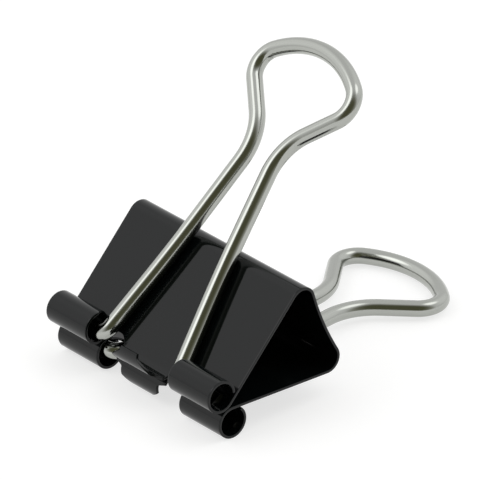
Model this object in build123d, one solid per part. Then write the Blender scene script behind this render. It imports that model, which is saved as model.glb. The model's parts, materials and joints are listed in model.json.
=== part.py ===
from build123d import *
import math
import os

# A small fold-back clip: a folded strip of spring steel with rolled edges, and a bent wire handle
# pivoting in the rolled tubes of each jaw. Sizes in millimetres, angles in degrees.
# The pieces are drawn in the clip's own frame: X along the width, Y from the mouth to the back, Z square
# to the middle plane. At the end they are tilted and lifted to lie on a table, with Z up.

# Folded strip
strip_width = 19.0
sheet = 0.22
body_depth = 10.4            # mouth line to the outside of the back
jaw_half_angle = 24.3        # each jaw's slope from the middle plane
corner_radius = 1.17         # outside of the bend between a jaw and the back
back_bow_angle = 7.0         # turn at each end of the back's shallow inward curve

# Bend zones, where the strip flexes
jaw_opening = 24.0           # turn of each jaw from closed to fully open
bend_clearance = 1.5         # turn left over between the bend's two sides when fully open
jaw_bend_share = 15.0        # part of the bend carried by the jaw

# Wire handles
wire_diameter = 1.27
foot_bend_radius = 0.9
leg_spacing = 4.3            # leg's line from the middle, at the foot's axis
leg_lean = 8.1               # upper half of a leg
leg_flare = 2.9              # how much more its lower half leans
leg_bow_height = 8.15        # foot's axis to the middle of the gentle bend between the halves
leg_bow_length = 6.0
leg_height = 16.2            # foot's axis to the end of the leg
neck_radius = 4.7
shoulder_angle = 43.5
shoulder_length = 2.8
loop_corner_radius = 1.8
loop_corner_turn = 97.2

# Rolled edges
tube_slack = 0.44            # room round the wire's foot, when it lies in the middle of the tube
tube_curl = 318.0            # turn from the flat jaw to the rolled sheet's free edge
tube_end_relief = 0.6        # how far a tube's inner end stands back on its rear side
mouth_gap = 0.06             # between the closed jaws
lip_root_half_width = 2.85   # the curled lip between the tubes, where it leaves the flat jaw
lip_half_width = 2.1         # along its sides
lip_tip_half_width = 0.95    # and at its free edge
lip_root_share = 0.09        # part of the lip's height over which its root narrows
lip_shoulder_share = 0.42    # part of its height below the slant of its sides toward the tip
lip_slant_share = 0.38       # part of its height that the slant takes
lip_roll_radius = 1.21       # outside of the lip's curl
lip_curl = 165.0
lip_corner_radius = 0.3
lip_outline_margin = 0.05    # how far the lip's outline passes its free edge
notch_end = 1.0              # how far a notch beside the lip runs behind the mouth line
notch_corner_radius = 0.85

# Fits between the wire and the strip
foot_clearance = 0.08        # under the foot, which lies on the tube's wall at the mouth
foot_setback = 1.5           # from the foot's end to the tube's outer end
leg_clearance = 0.1          # from a leg to the tube's inner end
rest_clearance = 0.06        # from a leg folded back to the strip's back corner

# Derived positions in the Y-Z section of the upper half
slope = math.radians(jaw_half_angle)
wire_radius = wire_diameter / 2
tube_radius = wire_radius + tube_slack + sheet
tube_mid_radius = tube_radius - sheet / 2
corner_mid_radius = corner_radius - sheet / 2
tube_z = tube_radius + mouth_gap / 2
tube_top = tube_z + tube_radius
foot_z = mouth_gap / 2 + sheet + foot_clearance + wire_radius
both_radii = tube_mid_radius + corner_mid_radius
corner_y = body_depth - corner_radius
jaw_length = (corner_y - both_radii * math.sin(slope)) / math.cos(slope)
corner_z = tube_z - both_radii * math.cos(slope) + jaw_length * math.sin(slope)
jaw_start = (tube_mid_radius * math.sin(slope), tube_z - tube_mid_radius * math.cos(slope))
jaw_end = (jaw_start[0] + jaw_length * math.cos(slope), jaw_start[1] + jaw_length * math.sin(slope))
toward_mouth = (-math.cos(slope), -math.sin(slope))

# Slope of a handle folded back, with its legs on the strip's back corner
foot_to_corner = math.hypot(corner_y, corner_z - foot_z)
leg_over_corner = math.asin((corner_radius + wire_radius + rest_clearance) / foot_to_corner)
handle_slope = math.atan2(corner_z - foot_z, corner_y) + leg_over_corner

# Inner end of a tube, beside the outer edge of the leg where the leg passes the tube's wall
lower_lean = math.radians(leg_lean + leg_flare)
bore_radius = tube_radius - sheet
leg_edge = leg_spacing - bore_radius * math.tan(lower_lean) + wire_radius / math.cos(lower_lean)
tube_inner = leg_edge + leg_clearance


def on_corner(angle):
    """Point of the mid-sheet line at an angle round the upper back corner."""
    turn = math.radians(angle)
    return (corner_y + corner_mid_radius * math.cos(turn), corner_z + corner_mid_radius * math.sin(turn))


def sheet_along(lines):
    """Full-width strip of sheet metal whose mid-line in the section follows the given lines."""
    return extrude(Plane.YZ * trace(lines, sheet), amount=strip_width / 2, both=True)


def seen_from_front(outline):
    """Solid through the whole depth whose outline in X and Z is the given sketch."""
    return extrude(Plane.XZ * outline, amount=body_depth, both=True)


def seen_from_above(outline):
    """Solid through the height of the rolled edge whose outline in X and Y is the given sketch."""
    return extrude(outline, amount=tube_top, both=True)


def curled_edge(turn, mid_radius):
    """Full-width curl that starts where the flat jaw ends."""
    return sheet_along([JernArc(jaw_start, toward_mouth, mid_radius, -turn)])


def tube():
    """Rolled tube at the +X end, whose inner end slants back on its rear side."""
    front = -tube_radius
    rear = tube_radius
    knee = (tube_inner, jaw_start[0])
    relieved = (tube_inner + tube_end_relief, rear)
    outline = Polygon((tube_inner, front), (strip_width, front), (strip_width, rear), relieved, knee, align=None)
    return curled_edge(tube_curl, tube_mid_radius) & seen_from_above(outline)


def lip():
    """Tongue with tapered sides between the two tubes, curled back toward the jaw it grows from."""
    mid_radius = lip_roll_radius - sheet / 2
    curl_z = jaw_start[1] + mid_radius * math.cos(slope)
    root_top = curl_z - (lip_roll_radius - sheet) * math.cos(slope)
    top = curl_z - lip_roll_radius * math.cos(math.radians(lip_curl) - slope) + lip_outline_margin
    narrowed = root_top + lip_root_share * (top - root_top)
    shoulder = root_top + lip_shoulder_share * (top - root_top)
    slant_end = shoulder + lip_slant_share * (top - root_top)
    right = [(lip_root_half_width, 0), (lip_root_half_width, root_top), (lip_half_width, narrowed)]
    right += [(lip_half_width, shoulder), (lip_tip_half_width, slant_end), (lip_tip_half_width, top)]
    left = [(-x, z) for x, z in reversed(right)]
    outline = Polygon(*right, *left, align=None)
    outline = fillet(outline.vertices().group_by(Axis.Y)[-1], lip_corner_radius)
    return curled_edge(lip_curl, mid_radius) & seen_from_front(outline)


def notch():
    """Cutter for the rounded notch between the lip and the +X tube."""
    width = tube_inner - lip_root_half_width
    outline = Rectangle(width, 2 * notch_end)
    outline = fillet(outline.vertices().group_by(Axis.Y)[-1], notch_corner_radius)
    middle = lip_root_half_width + width / 2
    return extrude(Pos(middle, 0) * outline, amount=tube_radius, both=True)


def upper_jaw():
    """Flat jaw with its share of the back bend, the two tubes and the lip."""
    bend_end = 90 + jaw_half_angle
    bend_start = bend_end - jaw_bend_share
    turn = math.radians(bend_start)
    bend = JernArc(on_corner(bend_start), (-math.sin(turn), math.cos(turn)), corner_mid_radius, jaw_bend_share)
    flat = sheet_along([bend, Line(jaw_end, jaw_start)])
    flat = flat - notch() - mirror(notch(), about=Plane.YZ)
    return flat + lip() + tube() + mirror(tube(), about=Plane.YZ)


def back():
    """Back of the strip with its share of both bends and a shallow inward bow."""
    start = 90 + jaw_half_angle - jaw_bend_share - jaw_opening - bend_clearance
    turn = math.radians(start)
    bow = math.radians(back_bow_angle)
    corner_turn = -(start + back_bow_angle)
    upper = JernArc(on_corner(start), (math.sin(turn), -math.cos(turn)), corner_mid_radius, corner_turn)
    bow_radius = (upper @ 1).Y / math.sin(bow)
    middle = JernArc(upper @ 1, upper % 1, bow_radius, 2 * back_bow_angle)
    lower = JernArc(middle @ 1, middle % 1, corner_mid_radius, corner_turn)
    return sheet_along([upper, middle, lower])


def climb(line, height):
    """Step straight on from a line's end to a distance from the foot's axis."""
    return (line % 1) * ((height - (line @ 1).Y) / (line % 1).Y)


def handle_line():
    """Half of the wire's centre line, from the foot's end in the +X tube to the middle of the loop."""
    foot_turn = 90 - leg_lean - leg_flare
    corner_cut = foot_bend_radius * math.tan(math.radians(foot_turn / 2))
    foot = Line((strip_width / 2 - foot_setback, 0), (leg_spacing + corner_cut, 0))
    bend = JernArc(foot @ 1, foot % 1, foot_bend_radius, -foot_turn)
    lower_leg = Line(bend @ 1, bend @ 1 + climb(bend, leg_bow_height - leg_bow_length / 2))
    bow = JernArc(lower_leg @ 1, lower_leg % 1, leg_bow_length / math.radians(leg_flare), -leg_flare)
    upper_leg = Line(bow @ 1, bow @ 1 + climb(bow, leg_height))
    neck = JernArc(upper_leg @ 1, upper_leg % 1, neck_radius, -(leg_lean + shoulder_angle))
    shoulder = Line(neck @ 1, neck @ 1 + (neck % 1) * shoulder_length)
    corner = JernArc(shoulder @ 1, shoulder % 1, loop_corner_radius, loop_corner_turn)
    heading = shoulder_angle - loop_corner_turn
    top_radius = (corner @ 1).X / math.cos(math.radians(heading))
    top = JernArc(corner @ 1, corner % 1, top_radius, 90 + heading)
    return Curve() + [foot, bend, lower_leg, bow, upper_leg, neck, shoulder, corner, top]


def handle_length():
    """Distance from the foot's axis to the wire's centre line at the loop's end."""
    return max((edge @ 1).Y for edge in handle_line().edges())


def upper_handle():
    """Bent wire, folded back along the upper jaw."""
    half = handle_line()
    path = Wire(half.edges() + mirror(half, about=Plane.YZ).edges())
    start = Plane(origin=(strip_width / 2 - foot_setback, 0, 0), z_dir=(-1, 0, 0))
    wire = sweep(start * Circle(wire_radius), path=path)
    square_to_wire = (0, -math.sin(handle_slope), math.cos(handle_slope))
    return Plane(origin=(0, 0, foot_z), x_dir=(1, 0, 0), z_dir=square_to_wire) * wire


def table_tilt():
    """Slope of the middle plane when the lower tubes and the lower handle's loop lie on the table."""
    reach_y = handle_length() * math.cos(handle_slope)
    reach_z = handle_length() * math.sin(handle_slope) + foot_z - tube_z
    drop = math.asin((tube_radius - wire_radius) / math.hypot(reach_y, reach_z))
    return math.degrees(math.atan2(reach_z, reach_y) - drop)


def mirrored(solid):
    """The lower half's copy of a piece of the upper half."""
    return mirror(solid, about=Plane.XY)


pieces = {
    "back": back(),
    "upper_jaw": upper_jaw(),
    "lower_jaw": mirrored(upper_jaw()),
    "upper_handle": upper_handle(),
    "lower_handle": mirrored(upper_handle()),
}

# Lie the clip on the table, with the origin under the middle of its outline
tilted = {name: Rot(table_tilt(), 0, 0) * piece for name, piece in pieces.items()}
boxes = [piece.bounding_box() for piece in tilted.values()]
front_y = min(box.min.Y for box in boxes)
rear_y = max(box.max.Y for box in boxes)
place = Pos(0, -(front_y + rear_y) / 2, -min(box.min.Z for box in boxes))

os.makedirs("parts", exist_ok=True)
for name, piece in tilted.items():
    export_step(place * piece, f"parts/{name}.step")

laid = place * Rot(table_tilt(), 0, 0)
print("tilt on the table", round(table_tilt(), 4), "handle length", round(handle_length(), 4))
print("handle slope", round(math.degrees(handle_slope), 4), "tube radius", round(tube_radius, 4))
print("mouth line", (laid * Pos(0, 0, 0)).position)
print("upper bend axis", (laid * Pos(0, corner_y, corner_z)).position)
print("lower bend axis", (laid * Pos(0, corner_y, -corner_z)).position)
print("upper foot axis", (laid * Pos(0, 0, foot_z)).position)
print("lower foot axis", (laid * Pos(0, 0, -foot_z)).position)
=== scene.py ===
# %% [markdown]
# # A small fold-back clip
# The real clip is three pieces of metal: one strip of black enamelled spring steel, stamped flat and then
# folded and rolled, and two nickel-plated wires, each bent into a handle. This lesson makes them again in
# Blender, in the order a factory would: roll the strip, bend the wire, finish both, then light and
# photograph the result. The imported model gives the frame: every piece is placed by its joints and mounts.

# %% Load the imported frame
import json
import math
import bpy
from mathutils import Matrix, Vector


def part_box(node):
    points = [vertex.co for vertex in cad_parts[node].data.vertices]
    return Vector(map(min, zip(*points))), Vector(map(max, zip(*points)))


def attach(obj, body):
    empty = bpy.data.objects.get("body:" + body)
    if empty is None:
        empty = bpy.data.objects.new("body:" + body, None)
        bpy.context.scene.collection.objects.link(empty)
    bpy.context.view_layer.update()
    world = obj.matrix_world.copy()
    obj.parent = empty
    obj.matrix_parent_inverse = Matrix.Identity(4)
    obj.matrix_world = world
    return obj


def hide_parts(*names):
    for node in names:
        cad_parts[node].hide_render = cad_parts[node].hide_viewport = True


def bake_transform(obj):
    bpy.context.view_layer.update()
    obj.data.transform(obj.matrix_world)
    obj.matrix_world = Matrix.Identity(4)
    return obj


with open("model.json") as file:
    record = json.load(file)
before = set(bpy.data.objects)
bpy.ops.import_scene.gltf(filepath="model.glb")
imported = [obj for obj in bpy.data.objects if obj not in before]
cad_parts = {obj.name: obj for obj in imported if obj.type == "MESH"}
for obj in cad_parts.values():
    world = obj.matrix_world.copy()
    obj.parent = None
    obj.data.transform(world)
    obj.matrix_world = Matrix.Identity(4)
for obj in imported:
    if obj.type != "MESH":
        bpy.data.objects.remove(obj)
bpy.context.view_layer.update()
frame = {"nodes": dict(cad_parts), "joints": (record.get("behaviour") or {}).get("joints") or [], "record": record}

MM = 0.001
joints = {joint["name"]: joint for joint in frame["joints"]}
mounts = {mount["name"]: mount for mount in frame["record"]["mounts"]}
print("frame of", sorted(frame["nodes"]), "with joints", sorted(joints))

# %% [markdown]
# ## The clip's own frame
# The clip lies tilted on the table, but its shape is easiest to think of in its own frame: X along the
# mouth, Y from the mouth to the back, Z square to the plane between the jaws. The mouth's mount gives that
# frame, because its position is the middle of the mouth and its axis points straight out of it. The pieces
# are modelled there and laid on the table at the end, so no tilt has to be guessed.

# %% Find the clip's frame and its axes
mouth = Vector(mounts["mouth"]["pos_m"])
across = Vector((1, 0, 0))
inward = -Vector(mounts["mouth"]["axis"]).normalized()
upward = across.cross(inward)
on_table = Matrix.Translation(mouth) @ Matrix((across, inward, upward)).transposed().to_4x4()
bend_axis = on_table.inverted() @ Vector(joints["upper_jaw_bend"]["pos_m"])
print("back bend's axis in the clip's frame, mm:", [round(c / MM, 3) for c in bend_axis])

# %% [markdown]
# ## Rolling the strip
# The strip's section is a chain of arcs and straight runs: a shallow bow across the back, a tight corner, a
# flat jaw and a curl. It could be a swept curve, but then the notches at the mouth would have to be cut out
# of a finished tube. Here one row of edges, as wide as the strip, is spun and extruded along the section,
# as a roll former bends a strip. Where the curl starts only the edges of the tubes and the lip go on, so
# the notches are simply left open. The upper half is made; the lower half is its mirror image.

# %% Sizes of the strip's section, along the middle of the sheet
sheet = 0.22 * MM
jaw_slope = math.radians(24.3)
bow_turn = math.radians(7.0)
corner_mid = 1.17 * MM - sheet / 2
tube_radius = 1.295 * MM
tube_mid = tube_radius - sheet / 2
tube_height = 1.325 * MM

corner_start = Vector((0, corner_mid * math.cos(bow_turn), -corner_mid * math.sin(bow_turn))) + bend_axis
bow_radius = corner_start.z / math.sin(bow_turn)
bow_centre = corner_start + Vector((0, bow_radius * math.cos(bow_turn), -corner_start.z))
back_middle = bow_centre - Vector((0, bow_radius, 0))
toward_mouth = Vector((0, -math.cos(jaw_slope), -math.sin(jaw_slope)))
off_jaw = Vector((0, -math.sin(jaw_slope), math.cos(jaw_slope)))
tube_axis = Vector((0, 0, tube_height))
jaw_end = tube_axis - off_jaw * tube_mid
jaw_start = bend_axis + off_jaw * corner_mid
jaw_length = (jaw_end - jaw_start).length
print("jaw length, mm:", round(jaw_length / MM, 3), "bow radius, mm:", round(bow_radius / MM, 2))

# %% Lay out the row of points across the strip
half_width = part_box("back")[1].x
lip_root = 2.85 * MM
tube_start = 4.838 * MM
notch_radius = 0.85 * MM
# A row this close to an edge keeps the shading flat up to the edge.
edge_support = 0.12 * MM
column_step = 0.4 * MM
quarter_angles = range(15, 91, 15)


def spread(start, end, step):
    """Evenly spaced places from start to end, about a step apart."""
    count = max(1, round(abs(end - start) / step))
    return [start + (end - start) * i / count for i in range(count + 1)]


quarter = [notch_radius * (1 - math.cos(math.radians(angle))) for angle in quarter_angles]
lip_places = spread(0, lip_root - edge_support, column_step) + [lip_root]
notch_places = [lip_root + gap for gap in quarter] + [tube_start - gap for gap in reversed(quarter)]
tube_inside = spread(tube_start + edge_support, half_width - edge_support, column_step)
right_half = lip_places + notch_places + [tube_start] + tube_inside + [half_width]
columns = [-place for place in reversed(right_half[1:])] + right_half
print("points across the strip:", len(columns))

# %% Helpers for modelling in edit mode
def add_point(name):
    """A new object whose mesh is one point, made from a merged plane, left in edit mode."""
    bpy.ops.object.select_all(action="DESELECT")
    bpy.ops.mesh.primitive_plane_add(size=MM)
    piece = bpy.context.object
    piece.name = piece.data.name = name
    bpy.ops.object.mode_set(mode="EDIT")
    bpy.ops.mesh.select_all(action="SELECT")
    bpy.ops.mesh.merge(type="CENTER")
    return piece


def push(offset):
    """Extrude what is selected along an offset."""
    bpy.ops.mesh.extrude_region_move(TRANSFORM_OT_translate={"value": offset})


def roll(centre, axis, turn, steps):
    """Extrude what is selected round an axis. Spin turns left-handed, so the turn is reversed."""
    bpy.ops.mesh.spin(steps=steps, angle=-turn, center=centre, axis=axis)


def select_points(piece, wanted):
    """Select only the points that a rule accepts, and go back to edit mode."""
    bpy.ops.mesh.select_all(action="DESELECT")
    bpy.ops.mesh.select_mode(type="VERT")
    bpy.ops.object.mode_set(mode="OBJECT")
    for point in piece.data.vertices:
        point.select = wanted(point)
    bpy.ops.object.mode_set(mode="EDIT")


def point_count(piece):
    """How many points the mesh has, read in object mode."""
    bpy.ops.object.mode_set(mode="OBJECT")
    count = len(piece.data.vertices)
    bpy.ops.object.mode_set(mode="EDIT")
    return count


strip = add_point("upper_strip")
print("points that the strip starts from:", point_count(strip))

# %% Roll the back, the corner and the flat of the jaw
# The first row after the back's middle line lies close to it, so that both halves shade alike there.
seam_turn = math.radians(0.1)
bow_steps = 7
corner_steps = 48
notch_zone = 1.3 * MM
notch_row_step = 0.1 * MM
jaw_row_step = 1.0 * MM
# The flat's last row, this far before the curl, is where the curls of the tubes and the lip are joined on.
last_row = 0.07 * MM

bpy.ops.transform.translate(value=back_middle + Vector((columns[0], 0, 0)))
for left, right in zip(columns, columns[1:]):
    push((right - left, 0, 0))
bpy.ops.mesh.select_all(action="SELECT")
roll(bow_centre, across, -seam_turn, 1)
roll(bow_centre, across, seam_turn - bow_turn, bow_steps)
roll(bend_axis, across, bow_turn + math.pi / 2 + jaw_slope, corner_steps)

notch_rows = spread(notch_zone, last_row, notch_row_step)
jaw_rows = [edge_support] + spread(jaw_row_step, jaw_length - notch_zone, jaw_row_step)
jaw_rows += [jaw_length - row for row in notch_rows[1:]]
for above, below in zip([0] + jaw_rows, jaw_rows):
    push(toward_mouth * (below - above))
print("points in the flat part:", point_count(strip))

# %% [markdown]
# ## The notches
# A press cuts a rounded notch each side of the lip before the edge is rolled. A boolean cut would leave
# ragged faces in so thin a sheet. Instead the rows above a notch are pulled up to the notch's rounded end,
# which keeps every face a clean quad.

# %% Round the notches
notch_depth = 0.56 * MM
flat_tolerance = sheet / 10
place_tolerance = sheet / 100


def from_curl(place):
    """Distance of a point on the flat jaw from the line where the curl starts."""
    return (jaw_end - place).dot(toward_mouth)


def on_jaw(place):
    """Whether a point lies in the flat jaw's plane."""
    return abs((place - jaw_end).dot(off_jaw)) < flat_tolerance


def notch_top(x):
    """Distance from the curl of the notch's rounded end, at a place across the strip."""
    gap = min(abs(x) - lip_root, tube_start - abs(x), notch_radius)
    rise = math.sqrt(notch_radius ** 2 - (notch_radius - gap) ** 2)
    return max(last_row, notch_depth - (notch_radius - rise) / math.cos(jaw_slope))


bpy.ops.object.mode_set(mode="OBJECT")
for point in strip.data.vertices:
    height = from_curl(point.co)
    if on_jaw(point.co) and height < notch_zone and lip_root < abs(point.co.x) < tube_start:
        share = (notch_zone - height) / (notch_zone - last_row)
        point.co += toward_mouth * share * (last_row - notch_top(point.co.x))
bpy.ops.object.mode_set(mode="EDIT")
print("notch end above the curl, mm:", round(notch_top((lip_root + tube_start) / 2) / MM, 3))

# %% [markdown]
# ## The tubes and the lip
# On the real clip the rolled edge holds the wire and gives the jaw a smooth mouth. The points that carry the
# tubes are spun almost all the way round the tube's axis. The lip's points are spun nearly half a turn, in a
# tighter curl, so the lip shows paper a round edge that can't dent it.

# %% Roll the tubes and the lip
tube_curl = math.radians(318)
tube_steps = 90
lip_radius = 1.21 * MM
lip_curl = math.radians(165)
lip_steps = 44
lip_axis = jaw_end + off_jaw * (lip_radius - sheet / 2)


def on_last_row(place, inner, outer):
    """Whether a point lies on the flat's last row, between two places across the strip."""
    within = inner - place_tolerance < abs(place.x) < outer + place_tolerance
    return on_jaw(place) and abs(from_curl(place) - last_row) < place_tolerance and within


select_points(strip, lambda point: on_last_row(point.co, tube_start, half_width))
tube_first = point_count(strip)
push(toward_mouth * last_row)
roll(tube_axis, across, -tube_curl, tube_steps)
select_points(strip, lambda point: on_last_row(point.co, 0, lip_root))
lip_first = point_count(strip)
push(toward_mouth * last_row)
roll(lip_axis, across, -lip_curl, lip_steps)
bpy.ops.object.mode_set(mode="OBJECT")
print("points with tubes and lip:", len(strip.data.vertices))

# %% [markdown]
# ## Relieved tube ends and a tapered lip
# The wire leaves each tube at its inner end and swings there, so the end is cut back at the rear, where the
# leg lies when the handle is folded. The lip is a tongue that narrows in two steps, at its root and toward
# its tip, and the tip's corners are rounded. All these are moves along X of points that are already there.

# %% Cut the tubes' inner ends back
tube_relief = 0.6 * MM
for point in strip.data.vertices[tube_first:lip_first]:
    side = math.copysign(1, point.co.x)
    share = (half_width - abs(point.co.x)) / (half_width - tube_start)
    behind = max(0.0, point.co.y - jaw_end.y) / (tube_radius - jaw_end.y)
    point.co.x += side * share * tube_relief * behind
print("points in the tubes:", lip_first - tube_first)

# %% Taper the lip
lip_side = 2.1 * MM
lip_tip = 0.95 * MM
lip_rounding = 0.3 * MM
lip_margin = 0.05 * MM
# The outline's steps, as shares of the height from where the curl leaves the jaw to the lip's top.
lip_root_share = 0.09
lip_shoulder_share = 0.42
lip_slant_share = 0.38

root_top = lip_axis.z - (lip_radius - sheet) * math.cos(jaw_slope)
lip_top = lip_axis.z - lip_radius * math.cos(lip_curl - jaw_slope) + lip_margin
lip_rise = lip_top - root_top
lip_outline = [
    (0, lip_root),
    (root_top, lip_root),
    (root_top + lip_root_share * lip_rise, lip_side),
    (root_top + lip_shoulder_share * lip_rise, lip_side),
    (root_top + (lip_shoulder_share + lip_slant_share) * lip_rise, lip_tip),
    (lip_top, lip_tip),
]


def lip_reach(z):
    """Half width of the lip at a height above the middle plane."""
    for (low, wide), (high, narrow) in zip(lip_outline, lip_outline[1:]):
        if low <= z <= high:
            drop = max(0.0, z - (lip_top - lip_rounding))
            rounded_off = lip_rounding - math.sqrt(lip_rounding ** 2 - drop ** 2)
            return wide + (narrow - wide) * (z - low) / (high - low) - rounded_off


for point in strip.data.vertices[lip_first:]:
    point.co.x *= lip_reach(point.co.z) / lip_root
print("lip's top above the middle plane, mm:", round(lip_top / MM, 3))

# %% [markdown]
# ## Thickness and cut edges
# The rolled surface is the middle of the sheet. Solidify gives it the sheet's thickness, evenly on both
# sides. A stamped edge under enamel is never razor sharp, so the sharp edges get a small bevel, all but
# those on the back's middle line, where the two halves of the strip meet.

# %% Thicken the strip and soften its cut edges
cut_radius = 0.045 * MM
cut_segments = 2
sharp_turn = math.radians(50)


def use_modifier(piece, kind, **settings):
    """Add a modifier, set it and apply it."""
    bpy.context.view_layer.objects.active = piece
    modifier = piece.modifiers.new(kind.lower(), kind)
    for name, value in settings.items():
        setattr(modifier, name, value)
    bpy.ops.object.modifier_apply(modifier=modifier.name)


use_modifier(strip, "SOLIDIFY", thickness=sheet, offset=0, use_even_offset=True, use_rim=True)
bpy.ops.object.mode_set(mode="EDIT")
bpy.ops.mesh.select_all(action="SELECT")
bpy.ops.mesh.normals_make_consistent(inside=False)
bpy.ops.mesh.select_all(action="DESELECT")
bpy.ops.mesh.select_mode(type="EDGE")
bpy.ops.mesh.edges_select_sharp(sharpness=sharp_turn)
bpy.ops.object.mode_set(mode="OBJECT")
for edge in strip.data.edges:
    ends = [strip.data.vertices[i].co for i in edge.vertices]
    edge.select = edge.select and max(abs(end.z) for end in ends) > place_tolerance
bpy.ops.object.mode_set(mode="EDIT")
bpy.ops.mesh.bevel(offset=cut_radius, segments=cut_segments, affect="EDGES", clamp_overlap=True)
bpy.ops.object.mode_set(mode="OBJECT")
print("strip faces:", len(strip.data.polygons))

# %% [markdown]
# ## The strip's other half
# The real strip is one sheet, the same above and below its middle plane. A Mirror modifier would keep both
# halves in one piece, but the two jaws ride on different bodies. So the lower half is a copy with its own
# mesh, turned over by a negative scale. That turns its faces inside out, so the normals are recalculated
# when a piece is laid in its place.

# %% Mirror the strip's lower half and lay both on the table
smooth_turn = math.radians(40)


def lay(piece, place):
    """Move a piece from its own frame to its place, with the place kept in its mesh, and shade it smooth."""
    bpy.ops.object.select_all(action="DESELECT")
    piece.select_set(True)
    bpy.context.view_layer.objects.active = piece
    piece.matrix_world = place
    bpy.ops.object.transform_apply(location=True, rotation=True, scale=True)
    bpy.ops.object.mode_set(mode="EDIT")
    bpy.ops.mesh.select_all(action="SELECT")
    bpy.ops.mesh.normals_make_consistent(inside=False)
    bpy.ops.object.mode_set(mode="OBJECT")
    bpy.ops.object.shade_smooth_by_angle(angle=smooth_turn)


def copy_of(piece, name):
    """A copy with its own mesh."""
    twin = piece.copy()
    twin.data = piece.data.copy()
    twin.name = twin.data.name = name
    bpy.context.scene.collection.objects.link(twin)
    return twin


lower_strip = copy_of(strip, "lower_strip")
lay(strip, on_table)
lay(lower_strip, on_table @ Matrix.Diagonal((1, 1, -1, 1)))
print("strip halves:", strip.name, lower_strip.name)

# %% [markdown]
# ## Bending the wire
# A handle is one wire, fed through a bender: a run, a bend, a run, a bend. A curve with a round bevel would
# also give a tube, but its rings pinch in tight bends. Spinning one ring of points round each bend's centre
# keeps the wire perfectly round, and the list below reads as the bender's own programme.

# %% Sizes of the wire and the bender's programme
wire_radius = 0.635 * MM
foot_setback = 1.5 * MM
foot_bend = 0.9 * MM
leg_spacing = 4.3 * MM
leg_height = 16.2 * MM
leg_lean = math.radians(8.1)
leg_flare = math.radians(2.9)
flare_height = 8.15 * MM
flare_length = 6.0 * MM
neck_radius = 4.7 * MM
shoulder_slope = math.radians(43.5)
shoulder_length = 2.8 * MM
loop_corner = 1.8 * MM
loop_turn = math.radians(97.2)

lower_lean = leg_lean + leg_flare
foot_turn = math.pi / 2 - lower_lean
corner_cut = foot_bend * math.tan(foot_turn / 2)
foot_run = half_width - foot_setback - leg_spacing - corner_cut
flare_start = flare_height - flare_length / 2
flare_radius = flare_length / leg_flare
flare_rise = flare_radius * (math.sin(lower_lean) - math.sin(leg_lean))
upper_leg = (leg_height - flare_start - flare_rise) / math.cos(leg_lean)
top_turn = math.pi - 2 * (loop_turn - shoulder_slope)
into_loop = [
    ("run", foot_run),
    ("bend", foot_bend, -foot_turn),
    ("run", flare_start / math.cos(lower_lean) - corner_cut),
    ("bend", flare_radius, -leg_flare),
    ("run", upper_leg),
    ("bend", neck_radius, -(leg_lean + shoulder_slope)),
    ("run", shoulder_length),
    ("bend", loop_corner, loop_turn),
]
print("wire bends each side:", sum(move[0] == "bend" for move in into_loop))

# %% Start the wire from a ring of points at its right foot's end
ring_points = 40
wire_start = Vector((half_width - foot_setback, 0, 0))
bpy.ops.object.select_all(action="DESELECT")
bpy.ops.mesh.primitive_circle_add(
    vertices=ring_points, radius=wire_radius, location=wire_start, rotation=(0, math.pi / 2, 0)
)
handle = bpy.context.object
handle.name = handle.data.name = "upper_handle_wire"
bpy.ops.object.transform_apply(location=True, rotation=True, scale=True)
bpy.ops.object.mode_set(mode="EDIT")
bpy.ops.mesh.select_all(action="SELECT")
print("wire starts at, mm:", [round(c / MM, 3) for c in wire_start])

# %% Bend one handle
degrees_per_ring = 3
fewest_rings = 6


def bend_wire(moves, tip, heading, ring_lengths):
    """Run and bend the wire's last ring as the moves say, and list the wire's length at each new ring."""
    for kind, *sizes in moves:
        forward = Vector((math.cos(heading), math.sin(heading), 0))
        if kind == "run":
            push(forward * sizes[0])
            tip = tip + forward * sizes[0]
            ring_lengths.append(ring_lengths[-1] + sizes[0])
            continue
        radius, turn = sizes
        rings = max(fewest_rings, round(abs(math.degrees(turn)) / degrees_per_ring))
        to_left = Vector((-forward.y, forward.x, 0)) * math.copysign(radius, turn)
        roll(tip + to_left, (0, 0, 1), turn, rings)
        tip = tip + to_left - Matrix.Rotation(turn, 3, "Z") @ to_left
        heading += turn
        before = ring_lengths[-1]
        ring_lengths.extend(before + radius * abs(turn) * (i + 1) / rings for i in range(rings))
    return tip, heading


ring_lengths = [0.0]
tip, heading = bend_wire(into_loop, wire_start, math.pi, ring_lengths)
top_radius = tip.x / math.sin(top_turn / 2)
tip, heading = bend_wire([("bend", top_radius, top_turn)], tip, heading, ring_lengths)
tip, heading = bend_wire(reversed(into_loop), tip, heading, ring_lengths)
bpy.ops.object.mode_set(mode="OBJECT")
print("wire length, mm:", round(ring_lengths[-1] / MM, 2), "ends at, mm:", [round(c / MM, 3) for c in tip])

# %% [markdown]
# ## A map along the wire
# Drawing a wire through a die leaves faint lines along it. To draw them later, the wire gets a UV map now,
# while its points still lie ring after ring: U goes round the wire and V along it, both in millimetres.

# %% Map the wire
girth = 2 * math.pi * wire_radius
wire_map = handle.data.uv_layers.new(name="along_wire")
for face in handle.data.polygons:
    spots = [index % ring_points for index in face.vertices]
    across_join = max(spots) - min(spots) > 1
    for loop, index, spot in zip(face.loop_indices, face.vertices, spots):
        around = ring_points if across_join and spot == 0 else spot
        length = ring_lengths[index // ring_points]
        wire_map.data[loop].uv = (around / ring_points * girth / MM, length / MM)
print("map, mm:", round(girth / MM, 2), "round and", round(ring_lengths[-1] / MM, 2), "along")

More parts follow.
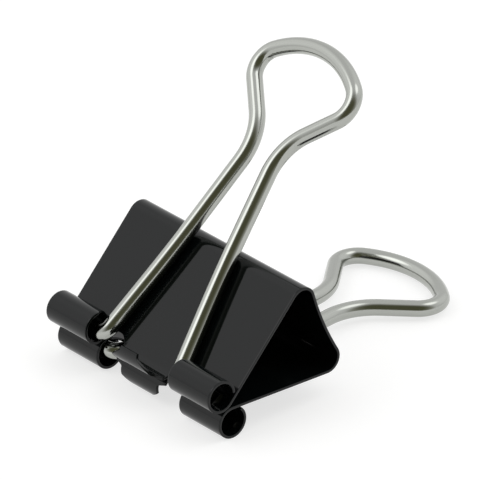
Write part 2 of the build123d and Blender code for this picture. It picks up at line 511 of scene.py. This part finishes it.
# %% Close the wire's ends
end_rounding = 0.1 * MM
end_segments = 3
bpy.ops.object.mode_set(mode="EDIT")
bpy.ops.mesh.select_all(action="SELECT")
bpy.ops.mesh.normals_make_consistent(inside=False)
for end in (0, len(ring_lengths) - 1):
    select_points(handle, lambda point: point.index // ring_points == end)
    bpy.ops.mesh.edge_face_add()
    bpy.ops.mesh.bevel(offset=end_rounding, segments=end_segments, affect="EDGES")
bpy.ops.object.mode_set(mode="OBJECT")
print("handle faces:", len(handle.data.polygons))

# %% [markdown]
# ## Two handles in their tubes
# Both handles come off the same bender, so one is modelled and copied. Each lies with its feet on its
# pivot's axis and its loop round the eye's mount. Those two points and the X axis give its whole place, so
# no angle has to be typed in.

# %% Place both handles
def handle_place(pivot, loop_eye):
    """Where a handle lies: its feet on the pivot's axis, its loop round the eye's mount."""
    foot = Vector(joints[pivot]["pos_m"])
    along = (Vector(mounts[loop_eye]["pos_m"]) - foot).normalized()
    turn = Matrix((across, along, across.cross(along))).transposed().to_4x4()
    return Matrix.Translation(foot) @ turn


lower_handle = copy_of(handle, "lower_handle_wire")
lay(handle, handle_place("upper_handle_pivot", "upper_loop_eye"))
lay(lower_handle, handle_place("lower_handle_pivot", "lower_loop_eye"))
print("handles:", handle.name, lower_handle.name)

# %% [markdown]
# ## Finishes
# Two finishes cover the clip. Each starts from what the real one is, and its colours are written as sRGB
# hex values that one function turns to linear. One small function adds a node with its settings and links.

# %% Helpers for materials
def colour(code):
    """Linear red, green, blue and alpha of an sRGB hex value."""
    parts = [int(code[i:i + 2], 16) / 255 for i in (1, 3, 5)]
    linear = [c / 12.92 if c <= 0.04045 else ((c + 0.055) / 1.055) ** 2.4 for c in parts]
    return (*linear, 1.0)


def add_node(tree, kind, settings=None, **inputs):
    """Add a node. Settings are its own properties; inputs are values, or sockets to link."""
    node = tree.nodes.new(kind)
    for name, value in (settings or {}).items():
        setattr(node, name, value)
    for name, value in inputs.items():
        socket = node.inputs[name.replace("_", " ")]
        if isinstance(value, bpy.types.NodeSocket):
            tree.links.new(value, socket)
        else:
            socket.default_value = value
    return node


def new_material(name):
    """An empty material, its node tree and its output."""
    material = bpy.data.materials.new(name)
    material.use_nodes = True
    material.node_tree.nodes.clear()
    output = material.node_tree.nodes.new("ShaderNodeOutputMaterial")
    return material, material.node_tree, output


print("sRGB #808080 in linear light:", [round(c, 3) for c in colour("#808080")])

# %% [markdown]
# ### Baked black enamel
# The strip is dipped or sprayed and baked. The eye sees a deep black with a clear gloss that mirrors the
# wire, but not quite evenly: the paint skin has a faint orange peel, about half a millimetre from crest to
# crest, and small clouds of duller and brighter gloss from handling.

# %% Make the enamel
def baked_enamel():
    """Black gloss paint on steel."""
    peel_size = 0.5 * MM
    peel_height = 0.003 * MM
    cloud_size = 4.0 * MM
    material, tree, output = new_material("baked_black_enamel")
    place = add_node(tree, "ShaderNodeTexCoord").outputs["Object"]
    peel = add_node(
        tree, "ShaderNodeTexNoise", Vector=place, Scale=1 / peel_size, Detail=2.0, Roughness=0.5
    )
    clouds = add_node(
        tree, "ShaderNodeTexNoise", Vector=place, Scale=1 / cloud_size, Detail=4.0, Roughness=0.6
    )
    gloss = add_node(
        tree, "ShaderNodeMapRange", Value=clouds.outputs["Fac"],
        From_Min=0.3, From_Max=0.7, To_Min=0.05, To_Max=0.1,
    )
    skin = add_node(
        tree, "ShaderNodeBump", Height=peel.outputs["Fac"], Strength=0.25, Distance=peel_height
    )
    paint = add_node(
        tree, "ShaderNodeBsdfPrincipled", Base_Color=colour("#0a0e0f"), IOR=1.36,
        Roughness=gloss.outputs["Result"], Normal=skin.outputs["Normal"],
    )
    tree.links.new(paint.outputs["BSDF"], output.inputs["Surface"])
    return material


enamel = baked_enamel()
print("finish:", enamel.name)

# %% [markdown]
# ### Bright nickel on drawn wire
# Nickel plate is a grey mirror with hardly any colour of its own, a little blurred on so thin a wire. The
# wire under it was drawn through a die, so faint lines run along it. They are only a few hundredths of a
# millimetre apart on the real wire, too fine to show, so they are drawn about a tenth of a millimetre apart.

# %% Make the nickel
def bright_nickel():
    """Nickel plate on a drawn steel wire."""
    line_spacing_mm = 0.1
    line_length_mm = 6.0
    line_height = 0.002 * MM
    cloud_size = 2.5 * MM
    material, tree, output = new_material("bright_nickel_plate")
    along = add_node(tree, "ShaderNodeUVMap", {"uv_map": "along_wire"}).outputs["UV"]
    stretched = add_node(
        tree, "ShaderNodeMapping", Vector=along, Scale=(1 / line_spacing_mm, 1 / line_length_mm, 1.0)
    )
    lines = add_node(
        tree, "ShaderNodeTexNoise", Vector=stretched.outputs["Vector"], Scale=1.0, Detail=3.0
    )
    place = add_node(tree, "ShaderNodeTexCoord").outputs["Object"]
    clouds = add_node(
        tree, "ShaderNodeTexNoise", Vector=place, Scale=1 / cloud_size, Detail=3.0
    )
    gloss = add_node(
        tree, "ShaderNodeMapRange", Value=clouds.outputs["Fac"],
        From_Min=0.3, From_Max=0.7, To_Min=0.1, To_Max=0.17,
    )
    drawn = add_node(
        tree, "ShaderNodeBump", Height=lines.outputs["Fac"], Strength=0.15, Distance=line_height
    )
    tint = add_node(
        tree, "ShaderNodeMix", {"data_type": "RGBA"}, Factor=lines.outputs["Fac"],
        A=colour("#a7a9a4"), B=colour("#afb1ac"),
    )
    metal = add_node(
        tree, "ShaderNodeBsdfPrincipled", Base_Color=tint.outputs["Result"], Metallic=1.0,
        Roughness=gloss.outputs["Result"], Normal=drawn.outputs["Normal"],
    )
    tree.links.new(metal.outputs["BSDF"], output.inputs["Surface"])
    return material


nickel = bright_nickel()
print("finish:", nickel.name)

# %% [markdown]
# ## Pieces that move
# A handle is stiff, so it simply rides on its body. The strip is one springy sheet that flexes in the
# corners of its back when the mouth opens. Here each half only keeps its place in its own mesh and is
# not tied to a moving body.

# %% Dress the pieces and tie the handles to their moving bodies
for piece in (strip, lower_strip):
    piece.data.materials.append(enamel)
for piece in (handle, lower_handle):
    piece.data.materials.append(nickel)

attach(handle, "upper_handle")
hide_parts("upper_handle")
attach(lower_handle, "lower_handle")
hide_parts("lower_handle")


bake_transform(strip)
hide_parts("upper_jaw", "back")
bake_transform(lower_strip)
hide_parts("lower_jaw", "back")

# %% [markdown]
# ## The studio
# The clip lies on white paper. Lamps would be enough for the black strip, but bright wire mirrors the whole
# room: a dark line down its middle, a white streak each side of it, and grey edges. So the light is one
# world of soft round zones: a white sky, two brighter walls, two softboxes, and a dim and a dark part of
# the room on the camera's side, which draw the dark line.
# The paper is a mid grey that takes the clip's shadow, and to the camera and to shiny surfaces it glows, so
# that it is white there. The glow doesn't darken in the shadow, which keeps the shadow faint.

# %% The floor
floor_size = 4.0
paper_glow = 0.69
bpy.ops.object.select_all(action="DESELECT")
bpy.ops.mesh.primitive_plane_add(size=floor_size)
floor = bpy.context.object
floor.name = "floor"
paper, tree, output = new_material("white_paper_floor")
path = add_node(tree, "ShaderNodeLightPath")
seen = path.outputs["Is Camera Ray"]
for other in ("Is Glossy Ray", "Is Transmission Ray"):
    either = add_node(tree, "ShaderNodeMath", {"operation": "MAXIMUM"})
    tree.links.new(seen, either.inputs[0])
    tree.links.new(path.outputs[other], either.inputs[1])
    seen = either.outputs["Value"]
diffuse = add_node(tree, "ShaderNodeBsdfDiffuse", Color=colour("#aaaaaa"))
lift = add_node(tree, "ShaderNodeMapRange", Value=seen, To_Max=paper_glow)
glow = add_node(tree, "ShaderNodeEmission", Strength=lift.outputs["Result"])
both = add_node(tree, "ShaderNodeAddShader")
tree.links.new(diffuse.outputs["BSDF"], both.inputs[0])
tree.links.new(glow.outputs["Emission"], both.inputs[1])
tree.links.new(both.outputs["Shader"], output.inputs["Surface"])
floor.data.materials.append(paper)
print("floor:", floor.name, "of", paper.name)

# %% The world: a white sky, walls, softboxes and the darker room on the camera's side
def toward(azimuth, elevation):
    """Direction from the clip: azimuth from the front to the right, elevation upward, in degrees."""
    turn = math.radians(azimuth)
    climb = math.radians(elevation)
    return Vector((math.sin(turn) * math.cos(climb), -math.cos(turn) * math.cos(climb), math.sin(climb)))


def grey(level):
    """Light of one level in all colours."""
    return (level, level, level, 1)


# Name, azimuth and elevation of the middle, angles of the even core and of the faded edge, and light.
zones = [
    ("left wall", -60, 33, 12, 40, grey(1.18)),
    ("right wall", 170, 35, 12, 40, grey(1.1)),
    ("dim room", 80, 20, 10, 40, (0.36, 0.36, 0.31, 1)),
    ("dark room", 44, 33, 20, 56, (0.12, 0.12, 0.07, 1)),
    ("left softbox", -32, 50, 9, 21, grey(2.35)),
    ("right softbox", 147, 62, 8, 20, grey(2.1)),
]
white_sky = grey(0.9)
world = bpy.data.worlds.new("studio")
bpy.context.scene.world = world
world.use_nodes = True
sky = world.node_tree
sky.nodes.clear()
looking = add_node(sky, "ShaderNodeTexCoord").outputs["Generated"]
light = white_sky
for name, azimuth, elevation, core, edge, level in zones:
    facing = add_node(sky, "ShaderNodeVectorMath", {"operation": "DOT_PRODUCT"})
    sky.links.new(looking, facing.inputs[0])
    facing.inputs[1].default_value = toward(azimuth, elevation)
    share = add_node(
        sky, "ShaderNodeMapRange", {"interpolation_type": "SMOOTHSTEP"}, Value=facing.outputs["Value"],
        From_Min=math.cos(math.radians(edge)), From_Max=math.cos(math.radians(core)),
    )
    zone = add_node(
        sky, "ShaderNodeMix", {"label": name, "data_type": "RGBA"},
        Factor=share.outputs["Result"], A=light, B=level,
    )
    light = zone.outputs["Result"]
background = add_node(sky, "ShaderNodeBackground", Color=light)
add_node(sky, "ShaderNodeOutputWorld", Surface=background.outputs["Background"])
print("world zones:", [zone[0] for zone in zones])

# %% [markdown]
# ## The camera
# The picture was taken from the clip's front right, a little above, with a long lens. The numbers come from
# matching the clip's outline to the photograph's.

# %% Camera at the photograph's viewing angle
camera_azimuth = 51.06
camera_elevation = 28.0
camera_roll = math.radians(-1.75)
aim = Vector((1.14, -4.295, 10.319)) * MM
distance = 555.7 * MM
nearest_seen = 10 * MM
sensor_mm = 36.0
lens_mm = 561.9

back_to_eye = toward(camera_azimuth, camera_elevation)
level_right = Vector((0, 0, 1)).cross(back_to_eye).normalized()
level_up = back_to_eye.cross(level_right)
picture_right = level_right * math.cos(camera_roll) + level_up * math.sin(camera_roll)
picture_up = back_to_eye.cross(picture_right)
bpy.ops.object.camera_add()
camera = bpy.context.object
camera.data.sensor_width = sensor_mm
camera.data.lens = lens_mm
camera.data.clip_start = nearest_seen
turn = Matrix((picture_right, picture_up, back_to_eye)).transposed().to_4x4()
camera.matrix_world = Matrix.Translation(aim + back_to_eye * distance) @ turn
bpy.context.scene.camera = camera
bpy.context.scene.view_settings.view_transform = "Standard"
print("camera at, mm:", [round(c / MM, 1) for c in camera.location])
